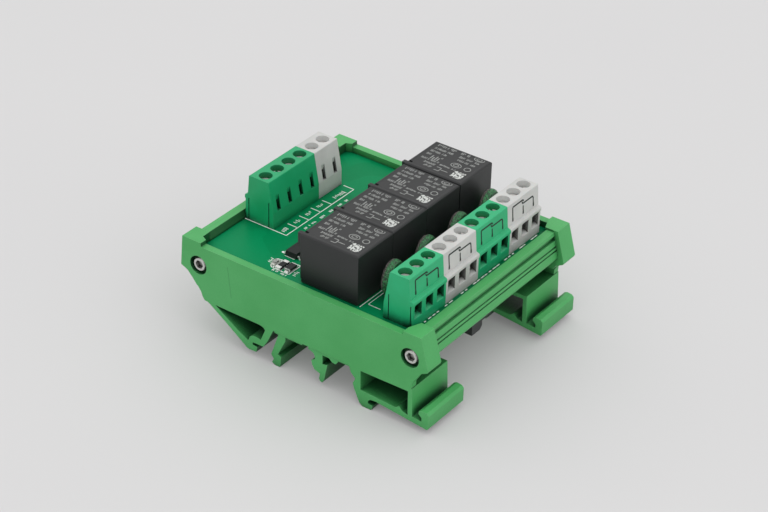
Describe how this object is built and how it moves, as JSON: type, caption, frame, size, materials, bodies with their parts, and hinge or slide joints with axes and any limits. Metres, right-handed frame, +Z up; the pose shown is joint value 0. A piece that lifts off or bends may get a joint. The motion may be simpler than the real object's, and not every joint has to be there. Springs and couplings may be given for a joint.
{
  "type": "relay module board",
  "caption": "Relay interface board with screw terminals in a green rail-mount carrier: tray profile, screwed side plates with rail feet, cube relays and surge discs.",
  "frame": {"origin": "centre of the bounding box's bottom face, on the surface that the feet stand on", "axes": "+X across the tray from the input terminals to the relay output terminals, +Y along the tray from one side plate to the other, parallel to the mounting rail's width, +Z up from the feet to the relays"},
  "size_m": [0.0843, 0.0716, 0.0426],
  "materials": {
    "carrier": "satin",
    "board": "glossy",
    "relay_cover": "satin",
    "terminal_green": "satin",
    "terminal_grey": "satin",
    "tinned_metal": "satin",
    "screw_steel": "satin",
    "disc_coating": "satin",
    "chip_black": "matte",
    "light_lens": "glossy",
    "black_foot": "matte"
  },
  "bodies": {
    "root": {"base_profile": "carrier", "side_plate_near": "carrier", "side_plate_far": "carrier", "side_screws_near": "screw_steel", "side_screws_far": "screw_steel", "middle_foot": "black_foot", "circuit_board": "board", "relay_1": "relay_cover", "relay_2": "relay_cover", "relay_3": "relay_cover", "relay_4": "relay_cover", "relay_pins_1": "tinned_metal", "relay_pins_2": "tinned_metal", "relay_pins_3": "tinned_metal", "relay_pins_4": "tinned_metal", "output_terminal_1": "terminal_green", "output_terminal_2": "terminal_grey", "output_terminal_3": "terminal_green", "output_terminal_4": "terminal_grey", "output_contacts_1": "tinned_metal", "output_contacts_2": "tinned_metal", "output_contacts_3": "tinned_metal", "output_contacts_4": "tinned_metal", "output_screws_1": "screw_steel", "output_screws_2": "screw_steel", "output_screws_3": "screw_steel", "output_screws_4": "screw_steel", "input_terminal": "terminal_green", "input_contacts": "tinned_metal", "input_screws": "screw_steel", "supply_terminal": "terminal_grey", "supply_contacts": "tinned_metal", "supply_screws": "screw_steel", "surge_disc_1": "disc_coating", "surge_disc_2": "disc_coating", "surge_disc_3": "disc_coating", "surge_disc_4": "disc_coating", "driver_chip": "chip_black", "channel_lights": "light_lens", "light_resistors": "chip_black", "coil_diodes": "chip_black"}
  },
  "joints": []
}
